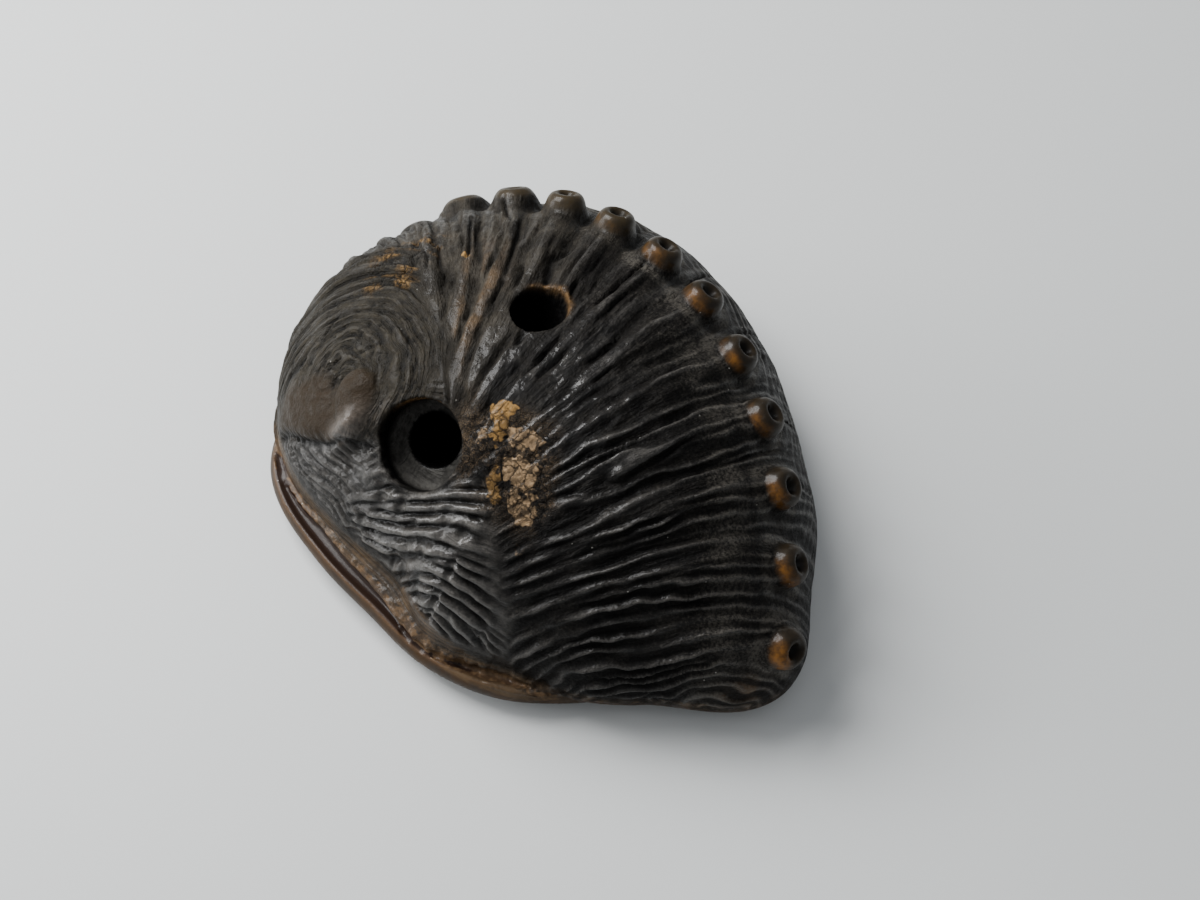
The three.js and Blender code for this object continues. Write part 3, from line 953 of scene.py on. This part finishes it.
# %% Sum of heights
relief = folds * fold_depth * fold_share
relief -= 0.30 * between_pores
relief -= 0.42 * slits * fold_share * at_edge * (1 - scar)
relief -= 0.13 * hairlines
relief += ropes * 0.42 * rope_strength * near_flank * (1 - plate)
relief += striae * 0.11 * on_spire + 0.20 * outer_rib * outer_ribs * on_spire
relief += (wall_rib * 0.09 - 0.03) * wall * ease(0.2, 1.2, z - lip)
relief += 0.03 * lumps + 0.018 * grainy(0.55, 18)
relief -= 0.10 * crack * scar * (1 - bare) + 0.05 * small_crack * scar * (1 - bare)
relief += 0.05 * bare - 0.05 * small_crack * bare
relief -= 0.10 * crack * worn_ribs
relief -= 0.22 * spire_cuts
relief += (0.36 * nucleus_dome - 0.16 * nucleus_edge) * on_spire
relief -= 0.25 * ledge_line
relief *= carved
relief += carved * (0.09 * plate_lines + 0.03 * plate_groove * plate_lines)
relief -= at_the_tip * bite * (1 - 0.6 * ease(-0.5, 0.2, lip - z))
relief += 0.46 * nucleus_ridge * outer_shell * ease(3.0, 3.4, recess_away)
relief += 0.30 * swelling
top_room = cad_box[1][2] / MM - 0.02 - z
relief = np.where(z > 12, np.minimum(relief, top_room), relief)
print("relief in mm:", relief.min().round(2), "to", relief.max().round(2))

# %% Move the points
moved = points + normals * relief[:, None]
moved[:, 2] = np.where(z < 0.02, z, np.maximum(moved[:, 2], 0.0))
low, high = np.array(cad_box[0]) + 1e-5, np.array(cad_box[1]) - 1e-5
low[2] = 0.0
moved = np.clip((moved + CENTRING) * MM, low, high)
carving.data.vertices.foreach_set("co", moved.ravel())
print("carved:", len(moved), "points")

# %% [markdown]
# ## Masks for the finish
#
# The stain, the wear and the polish follow the relief, and so do the painted shade in the
# hollows and the painted highlights on crests, ridge and bead, so the same arrays that carved
# it now say where each finish goes. They are stored on the points as named attributes, which
# the material reads. A mask painted by hand would have to be painted again after every change.

# %% Crests and hollows
CHEEK = (-13.2, -10.0, 4.4, 2.6)
cheek = fall(0.5, 1.0, oval(*CHEEK) + 0.2 * patchy)
cheek = strongest(cheek, fall(0.7, 1.15, nucleus_far)) * (z > 6) * (below < 0.1)
calm = strongest(cheek, fall(0.85, 1.15, nucleus_far))
full = clamp(strength)
# Crests are later painted lighter: partly rubbed wear, partly painted highlight.
crest = mix(ease(0.75, 1.0, broad_fold) * 0.55, ease(0.35, 0.95, thin_fold), thin_crests)
crest = strongest(fold_share * crest * full * (1 - scar),
                  near_flank * rope_strength * ease(0.55, 0.95, rope_wave),
                  on_spire * 0.6 * ease(0.2, 0.9, stria),
                  wall * ease(0.3, 0.9, wall_rib),
                  # the ridge beside the recess joins the crests as a painted highlight
                  0.7 * nucleus_ridge * outer_shell)
# Hollows: partly stain pooled in them, partly painted shade in valleys, slits and dips.
fold_hollow = mix(fall(0.05, 0.55, broad_fold), fall(0.0, 0.45, thin_fold), thin_crests)
trough = strongest(fall(-1, 0.1, stria) * clamp(0.2 + stria_fade),
                   0.8 * outer_ribs * fall(-1, -0.35, outer_rib))
hollow = strongest(fold_share * fold_hollow * full * mix(0.6, 1, thin_crests),
                   near_flank * rope_strength * fall(0.05, 0.45, rope_wave),
                   ledge_line, spire_cuts, slits * fold_share * (1 - scar),
                   0.9 * between_pores, 0.8 * hairlines,
                   on_spire * clamp(thin_cut + 0.7 * trough) * (1 - 0.85 * calm),
                   crack * strongest(scar, worn_ribs), small_crack * scar * 0.5,
                   0.6 * wall * fall(-0.9, -0.1, wall_rib))
print("crest points:", int((crest > 0.5).sum()), " hollow points:", int((hollow > 0.5).sum()))

# %% Pores and dust
pore_size = PORE["radius"] * pore_growth(pore_number)
pore_share = pore_distance / pore_size
pore_side = fall(0.94, 1.12, pore_share) * (z > 1)
near_side = np.zeros(len(x))
for i, (place, _) in enumerate(pores):
    mine = (pore_number == i) & (pore_distance < 5)
    towards = place[1] - y[mine] - 0.15 * (x[mine] - place[0])
    near_side[mine] = towards / pore_size[mine]
pore_glow = pore_side * ease(0.05, 0.85, near_side + 0.30 * grainy(0.9, 33))
pit = pore_side * fall(0.22, 0.46, pore_share) * ease(0, 3, pore_number)
base_dust = bell((pore_distance - 2.2) / 0.75) * (z > 2) * ease(3.2, 6.5, pore_number + 1)
row_dust = bell((from_row - 4.5) / 3.2) * ease(4, 7, number) * outer_shell
dust = clamp(strongest(base_dust, 0.8 * row_dust))
print("pore points:", int((pore_side > 0.5).sum()))

# %% The foot's rim, the worn places, the painted highlights and the polish
foot_in = foot_radius(direction) - radius
below_lip = ease(0.1, 0.5, lip - z)
bead = below_lip * fall(0.20, 0.42, foot_in) * ease(0.5, 1.2, z)
# painted highlight: a thin bright line along the foot's rounded bead
bead_line = below_lip * bell((foot_in - 0.34 + 0.08 * shaky) / 0.09) * (z > 2.2)
gutter = below_lip * ease(0.20, 0.42, foot_in) * ease(1.2, 2.0, z)

worn_rib = (ease(0.9, 1.4, number) * fall(2.0, 2.8, number) * ease(10, 20, from_row)
            * fall(46, 60, from_row) * fold_share * ease(0.3, 0.8, wave))
lip_line = (fall(0.10, 0.35, np.abs(from_lip)) * ease(-62, -48, heading)
            * fall(-12, 2, heading) * (np.abs(z - lip + 0.2) < 0.8))
# Worn amber rims, brightened on the recess wall as painted light the lamps don't give.
recess_rim = (bell((recess_away - 3.15) / 0.25) * ease(0.1, 0.4, skin_depth)
              * ease(0.3, 2.4, y + 8.0) * fall(-4.2, -2.6, x))
hole_rim = (bell((hole_away - 1.95) / 0.22) * (z > 12)
            * ease(-0.2, 1.4, y - 5.0) * fall(0.35, 0.8, skin_depth))

flank_polish = near_flank * mix(0.35, 1, rope_strength * ease(0.3, 0.8, rope_wave))
pore_polish = 0.42 * pore_side * ease(0.25, 0.60, pore_share)
polish = strongest(strongest(flank_polish, pore_polish) * ease(3.2, 3.9, recess_away),
                   0.85 * crumpled * fold_share * ease(0.35, 0.85, wave),
                   fold_share * ease(0.5, 0.9, wave) * mix(0.25, 0.35, thin_crests),
                   0.15 * bead, 0.9 * facet * near_flank, 0.9 * nucleus_ridge,
                   0.05 * calm * on_spire)
print("polished points:", int((polish > 0.3).sum()))

# %% Store the masks
masks = dict(
    crest=crest, hollow=hollow, scar=scar, tan=tan, amber=amber, rib_flake=rib_flake,
    cheek=cheek, calm=calm, ridge=nucleus_ridge * on_spire, spire=on_spire, flank=near_flank,
    gloss_wall=wall, shade=ease(1.8, 5.2, number + 0.8 * patchy) * (1 - on_spire),
    pore_side=pore_side, pore_glow=pore_glow, pore_number=pore_number, pit=pit, dust=dust,
    bead=bead, bead_line=bead_line, gutter=gutter, sole=fall(0.3, 1.2, z), frill=frill,
    plate=plate_lines * (0.65 + 0.35 * plate_groove), polish=polish,
    rib_wear=strongest(worn_rib, 1.3 * swelling, lip_line),
    rim_wear=strongest(recess_rim, 0.5 * hole_rim) * (skin_depth < 1.3),
    in_hole=in_hole, recess_floor=recess_floor, growth=number, round=from_row,
    coil=coil + coil_warp, coil_angle=0.1 * spire_angle, heading=0.12 * direction,
    from_lip=skin_from_lip)
for name, values in masks.items():
    layer = carving.data.attributes.new(name, "FLOAT", "POINT")
    layer.data.foreach_set("value", np.asarray(values, np.float32))
print("masks stored:", len(masks))

# %% Thin out what is flat
def count_triangles():
    return sum(len(polygon.vertices) - 2 for polygon in carving.data.polygons)


TRIANGLES_WANTED = 196000
if count_triangles() > TRIANGLES_WANTED:
    apply_modifier(carving, "DECIMATE", ratio=TRIANGLES_WANTED / count_triangles())
for polygon in carving.data.polygons:
    polygon.use_smooth = True
print("triangles:", count_triangles())

# %% [markdown]
# ## The finish: small helpers for nodes
#
# A shader tree is only nodes and links, but sums written as nodes are hard to read. So one
# output of a node is wrapped as a signal, and +, -, *, /, < and > on it add the Math nodes.
# The other helpers add a node and fill its sockets, mix two colours by a mask, turn a range of
# values into a mask, and start a node group. They work in a group and in a material alike.

# %% Helpers for nodes
class Signal:
    """One output of a shader node. Arithmetic on it adds Math nodes to the same tree."""

    def __init__(self, socket):
        self.socket, self.tree = socket, socket.id_data

    def math(self, operation, first, second):
        node = self.tree.nodes.new("ShaderNodeMath")
        node.operation = operation
        plug(first, node.inputs[0])
        plug(second, node.inputs[1])
        return Signal(node.outputs[0])

    __add__ = lambda self, other: self.math("ADD", self, other)
    __radd__ = lambda self, other: self.math("ADD", other, self)
    __sub__ = lambda self, other: self.math("SUBTRACT", self, other)
    __rsub__ = lambda self, other: self.math("SUBTRACT", other, self)
    __mul__ = lambda self, other: self.math("MULTIPLY", self, other)
    __truediv__ = lambda self, other: self.math("DIVIDE", self, other)
    __rtruediv__ = lambda self, other: self.math("DIVIDE", other, self)
    __lt__ = lambda self, other: self.math("LESS_THAN", self, other)
    __gt__ = lambda self, other: self.math("GREATER_THAN", self, other)


def larger(one, other):
    return one.math("MAXIMUM", one, other)


def plug(value, socket):
    """Links a signal to a socket, or sets a plain value on it."""
    if isinstance(value, Signal):
        value.tree.links.new(value.socket, socket)
    elif isinstance(value, tuple):
        socket.default_value = (*value, 1)[:len(socket.default_value)]
    else:
        socket.default_value = value


def add(tree, kind, settings=None, inputs=(), **sockets):
    """Adds a node, sets its options, fills its sockets in order or by name, gives its outputs."""
    node = tree.nodes.new("ShaderNode" + kind)
    for name, value in (settings or {}).items():
        setattr(node, name, value)
    for socket, value in zip(node.inputs, inputs):
        plug(value, socket)
    for name, value in sockets.items():
        plug(value, node.inputs[name.replace("_", " ")])
    return {socket.name: Signal(socket) for socket in node.outputs}


def cloudy(tree, place, scale, detail, roughness):
    return add(tree, "TexNoise", Vector=place, Scale=scale, Detail=detail,
               Roughness=roughness)["Fac"]


def paint(under_colour, over_colour, mask):
    """Lays one colour over another where a mask says so."""
    node = mask.tree.nodes.new("ShaderNodeMix")
    node.data_type = "RGBA"
    for index, value in ((0, mask), (6, under_colour), (7, over_colour)):
        plug(value, node.inputs[index])
    return Signal(node.outputs[2])


def between(value, low, high):
    """0 below low, 1 above high, smooth between."""
    return add(value.tree, "MapRange", dict(interpolation_type="SMOOTHSTEP"), Value=value,
               From_Min=low, From_Max=high)["Result"]


def new_group(name, inputs, outputs):
    """An empty node group, the signals that come into it, and its end sockets."""
    group = bpy.data.node_groups.new(name, "ShaderNodeTree")
    for label, default in inputs.items():
        kind = "NodeSocketVector" if default is None else "NodeSocketFloat"
        socket = group.interface.new_socket(label, in_out="INPUT", socket_type=kind)
        if default is not None:
            socket.default_value = default
    for label in outputs:
        group.interface.new_socket(label, in_out="OUTPUT", socket_type="NodeSocketFloat")
    start = group.nodes.new("NodeGroupInput").outputs
    end = group.nodes.new("NodeGroupOutput").inputs
    return group, {label: Signal(start[label]) for label in inputs}, end


print("helpers ready")

# %% [markdown]
# ## Five effects, each a node group
#
# Old stained wood is uneven in five ways. The stain is mottled, where it soaked in more or
# less. Fine streaks run along the carver's strokes, which here follow the growth of the
# shell. Raised edges are rubbed lighter, but only in broken patches. Pale dust sits in what a
# cloth can't reach, and the bared wood has dried into fine cracks. Each effect is a group with
# its own values to set, so that other carvings can use it too.

# %% Mottled stain
mottled, start, end = new_group("mottled_stain", {"Vector": None, "Patch size": 2.0},
                                ["Mottle", "Speckle"])
per_patch = 1.0 / start["Patch size"]
broad = cloudy(mottled, start["Vector"], per_patch, 5.0, 0.62)
fine = cloudy(mottled, start["Vector"], per_patch * 9.0, 3.0, 0.7)
plug(between(broad, 0.38, 0.64), end["Mottle"])
plug(between(fine, 0.42, 0.66), end["Speckle"])
print("built", mottled.name)

# %% Streaks along the growth of the shell
streaks, start, end = new_group("growth_streaks", {"Along": 0.0, "Across": 0.0, "Fineness": 14.0},
                                ["Streak"])
lines = add(streaks, "CombineXYZ", X=start["Across"] * start["Fineness"], Y=start["Along"] * 0.35)
plug(between(cloudy(streaks, lines["Vector"], 1.0, 3.0, 0.6), 0.35, 0.68), end["Streak"])
print("built", streaks.name)

# %% Rubbed edges
rubbed, start, end = new_group("rubbed_edge", {"Crest": 0.0, "Vector": None, "Break up": 0.5},
                               ["Rubbed"])
gaps = cloudy(rubbed, start["Vector"], 1.1, 6.0, 0.72)
level = start["Crest"] + (gaps - 0.5) * start["Break up"] * 3.0
plug(between(level, 0.25, 0.95) * between(start["Crest"], 0.02, 0.3), end["Rubbed"])
print("built", rubbed.name)

# %% Dust and specks
dusty, start, end = new_group("dust_and_specks", {"Vector": None, "Amount": 0.5},
                              ["Dust", "Specks"])
powder = cloudy(dusty, start["Vector"], 4.5, 4.0, 0.75) + start["Amount"] * 0.30
plug(between(powder, 0.58, 0.86) * start["Amount"], end["Dust"])
cells = add(dusty, "TexVoronoi", Vector=start["Vector"], Scale=1.6, Randomness=1.0)
chosen = add(dusty, "TexWhiteNoise", Vector=cells["Position"])["Value"]
plug((cells["Distance"] < 0.09) * (chosen > 0.93), end["Specks"])
print("built", dusty.name)

# %% Fine cracks
crazed, start, end = new_group("fine_cracks", {"Vector": None, "Cell size": 0.9, "Width": 0.09},
                               ["Crack"])
bends = add(crazed, "TexNoise", Vector=start["Vector"], Scale=1.4, Detail=3.0, Roughness=0.6)
bent_place = add(crazed, "VectorMath", dict(operation="MULTIPLY_ADD"),
                 (bends["Color"], (0.9, 0.9, 0.9), start["Vector"]))
borders = add(crazed, "TexVoronoi", dict(feature="DISTANCE_TO_EDGE"), Vector=bent_place["Vector"],
              Scale=1.0 / start["Cell size"])
plug(1.0 - between(borders["Distance"] / start["Width"], 0.25, 1.0), end["Crack"])
print("built", crazed.name)

# %% [markdown]
# ## The stained wood
#
# The finish is laid on in the order a real one is: the wood, the black stain over it, then
# what age rubbed away, then dirt. Painted light is laid in among these coats: painted shade in
# the hollows, in the cord holes and low on the foot, painted highlights on the crests, the
# wall's ribs, the ridge by the recess, the near flank and the foot's bead, and painted light on
# the recess wall. Each coat of colour goes over the last through a stored mask, broken up by
# one of the groups. Polish is a clear coat only where fingers reach, so the hollows stay matt.
# The last nodes turn streaks, pits and cracks too fine for the mesh into a bump.

# %% Colours of the finish
STAIN = (0.0058, 0.0051, 0.0047)
STAIN_THIN = (0.046, 0.039, 0.029)
HOLLOW_BLACK = (0.0016, 0.0014, 0.0013)
CREST_WEAR_AND_HIGHLIGHT_GREY = (0.078, 0.073, 0.067)
WALL_RIB_HIGHLIGHT_GREY = (0.085, 0.080, 0.070)
SPIRE_BROWN = (0.037, 0.031, 0.021)
CHEEK_BROWN = (0.0205, 0.0125, 0.0056)
RIDGE_HIGHLIGHT_GREY = (0.15, 0.125, 0.105)
FLANK_DUST_AND_SHEEN_GREY = (0.092, 0.085, 0.077)
RIB_BROWN = (0.100, 0.062, 0.031)
PORE_AMBER = (0.18, 0.074, 0.012)
PORE_BROWN = (0.018, 0.0120, 0.0055)
PORE_OLIVE = (0.034, 0.0235, 0.0105)
PLATE_BROWN = (0.095, 0.061, 0.032)
RIM_WEAR_AND_LIGHT_AMBER = (0.26, 0.145, 0.055)
TAN_WOOD = (0.56, 0.37, 0.20)
AMBER_WOOD = (0.40, 0.225, 0.070)
FRILL_TAN = (0.125, 0.076, 0.039)
BEAD_AMBER = (0.044, 0.0235, 0.0095)
BEAD_HIGHLIGHT = (0.14, 0.078, 0.037)
GUTTER_PLUM = (0.017, 0.0095, 0.0078)
SOLE_AND_SHADOW_BROWN = (0.050, 0.031, 0.018)
DUST_GREY = (0.105, 0.095, 0.080)
SPECK_WHITE = (0.42, 0.40, 0.36)
RECESS_GREY = (0.075, 0.071, 0.064)
print("colours set")

# %% The material, and the effects laid over its masks
wood = bpy.data.materials.new("stained_wood")
wood.use_nodes = True
tree = wood.node_tree
shader = tree.nodes["Principled BSDF"].inputs
on = SimpleNamespace(**{name: add(tree, "Attribute", dict(attribute_name=name))["Fac"]
                        for name in masks})
spot = add(tree, "VectorMath", dict(operation="SCALE"), Vector=add(tree, "TexCoord")["Object"],
           Scale=1 / MM)["Vector"]


def effect(group, **sockets):
    return add(tree, "Group", dict(node_tree=group), **sockets)


def streaked(along, across, fineness):
    return effect(streaks, Along=along, Across=across, Fineness=fineness)["Streak"]


def rubbed_through(crest, break_up):
    return effect(rubbed, Crest=crest, Vector=spot, Break_up=break_up)["Rubbed"]


stain = effect(mottled, Vector=spot, Patch_size=2.4)["Mottle"]
fine_stain = effect(mottled, Vector=spot, Patch_size=0.55)
grain, speckle = fine_stain["Mottle"], fine_stain["Speckle"]
crest_wear_and_highlight = rubbed_through(on.crest, 0.55)
powder = effect(dusty, Vector=spot, Amount=on.dust)
craze = effect(crazed, Vector=spot, Cell_size=0.85, Width=0.10)["Crack"]

off_spire = 1.0 - larger(on.spire, on.flank)
rough_spire = on.spire * (1.0 - on.calm)
worn = larger(on.scar, on.rib_flake)
streak = streaked(on.round, on.growth, 11.0) * off_spire * (1.0 - on.gloss_wall * 0.75)
coil_streak = streaked(on.coil_angle, on.coil, 3.2) * rough_spire
lip_streak = streaked(on.heading, on.from_lip, 3.4) * on.flank
print("masks:", len(masks))

# %% Colour, coat by coat
film = effect(dusty, Vector=spot, Amount=0.25 + stain * 0.35)["Dust"]
film_share = 1.0 - larger(on.pore_side, on.spire * (0.6 + on.calm * 0.35))
film_share = film_share * (1.0 - on.hollow * 0.7)
late = between(on.pore_number, 3.0, 6.5)
pore_colour = paint(PORE_OLIVE, PORE_BROWN, late)
pore_colour = paint(pore_colour, PORE_AMBER, late * on.pore_glow * (0.7 + grain * 0.3))

stain_wear_and_painted_light = [
    (STAIN_THIN, (0.35 + stain * 0.5) * (0.08 + (1.0 - on.shade) * off_spire * 0.85)),
    (SPIRE_BROWN, on.spire * (0.45 + grain * 0.4)),
    (HOLLOW_BLACK, streak * 0.30),
    (HOLLOW_BLACK, coil_streak * 0.60),
    (HOLLOW_BLACK, lip_streak * 0.45),
    # partly rubbed wear, partly painted highlight on the crests
    (CREST_WEAR_AND_HIGHLIGHT_GREY, crest_wear_and_highlight * (0.25 + speckle * 0.5)),
    # partly dusty grey, partly painted sheen on the window-facing flank and its rope crests
    (FLANK_DUST_AND_SHEEN_GREY, on.flank * (0.30 + on.crest * 0.5) * (0.4 + grain * 0.6)),
    (RIB_BROWN, on.rib_wear * (0.15 + stain * 0.6)),
    (CHEEK_BROWN, on.cheek * (0.75 + grain * 0.25)),
    # painted highlight: a broad light sheen on the ridge beside the recess
    (RIDGE_HIGHLIGHT_GREY, on.ridge * (0.30 + grain * 0.4)),
    (AMBER_WOOD, on.rib_flake * (0.16 + grain * 0.40)),
    # painted highlight: thin light lines along the crests of the wall's ribs
    (WALL_RIB_HIGHLIGHT_GREY, on.gloss_wall * crest_wear_and_highlight * 0.55),
    (TAN_WOOD, on.scar * speckle * stain * 0.35),
    (TAN_WOOD, rubbed_through(on.tan, 0.5) * (0.5 + grain * 0.45)),
    (AMBER_WOOD, rubbed_through(on.amber, 0.4) * (0.5 + grain * 0.45)),
    (HOLLOW_BLACK, craze * worn * 0.75),
    (DUST_GREY, powder["Dust"] * 0.6),
    # painted shade and pooled stain: the hollows are painted near-black
    (HOLLOW_BLACK, on.hollow * 0.85),
    (DUST_GREY, film * 0.30 * film_share),
]
pores_rim_and_sole = [
    (pore_colour, on.pore_side * (0.55 + grain * 0.4)),
    (STAIN, on.pit * 0.92),
    (GUTTER_PLUM, on.gutter),
    (BEAD_AMBER, on.gutter * speckle * 0.45),
    (BEAD_AMBER, on.bead * (0.45 + stain * 0.55)),
    # painted highlight along the bead
    (BEAD_HIGHLIGHT, on.bead_line * 0.5),
    (PLATE_BROWN, on.plate * (0.35 + stain * 0.6)),
    (FRILL_TAN, rubbed_through(on.frill, 0.5) * (0.3 + grain * 0.6)),
    # worn amber, brightened as painted light on the shaded recess wall
    (RIM_WEAR_AND_LIGHT_AMBER, on.rim_wear * (0.3 + grain * 0.6)),
    # the sole's own brown, also darkening the foot's lower wall as painted shadow under the
    # overhang
    (SOLE_AND_SHADOW_BROWN, on.sole * (0.55 + stain * 0.4)),
    # painted shade: the insides of the cord holes are painted near-black, save at the rim
    (HOLLOW_BLACK, on.in_hole * (1.0 - on.rim_wear * 0.8)),
    (SPECK_WHITE, powder["Specks"] * 0.5 * (1.0 - on.in_hole)),
    (RECESS_GREY, on.recess_floor * (0.45 + grain * 0.4)),
]
colour = STAIN
for over, share in stain_wear_and_painted_light + pores_rim_and_sole:
    colour = paint(colour, over, share)
plug(colour, shader["Base Color"])
print("coats of colour:", len(stain_wear_and_painted_light) + len(pores_rim_and_sole))

# %% Sheen and fine bump
plug(0.44 + grain * 0.16 - on.crest * 0.10, shader["Roughness"])
plug(on.polish * (0.35 + speckle * 0.65), shader["Coat Weight"])
plug(0.18, shader["Coat Roughness"])
plug(0.08, shader["Specular IOR Level"])

not_pore = 1.0 - larger(on.pore_side, larger(on.gutter, on.bead))
dents = cloudy(tree, spot, 1.6, 3.0, 0.55)
polish_bump = add(tree, "Bump", Strength=0.5, Distance=0.00018, Height=dents * not_pore)
plug(polish_bump["Normal"], shader["Coat Normal"])
height = cloudy(tree, spot, 3.2, 5.0, 0.66) * 0.8 + streak * 0.45
for cut, depth in ((coil_streak, 0.7), (lip_streak, 0.4), (craze * worn, 1.2),
                   (on.scar * speckle, 0.4)):
    height = height - cut * depth
fine_bump = add(tree, "Bump", Strength=0.75, Distance=0.00020, Height=height * not_pore)
plug(fine_bump["Normal"], shader["Normal"])
carving.data.materials.clear()
carving.data.materials.append(wood)
print("material nodes:", len(tree.nodes))

# %% Hand the carving over
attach(carving, "root")
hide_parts("abalone_netsuke")
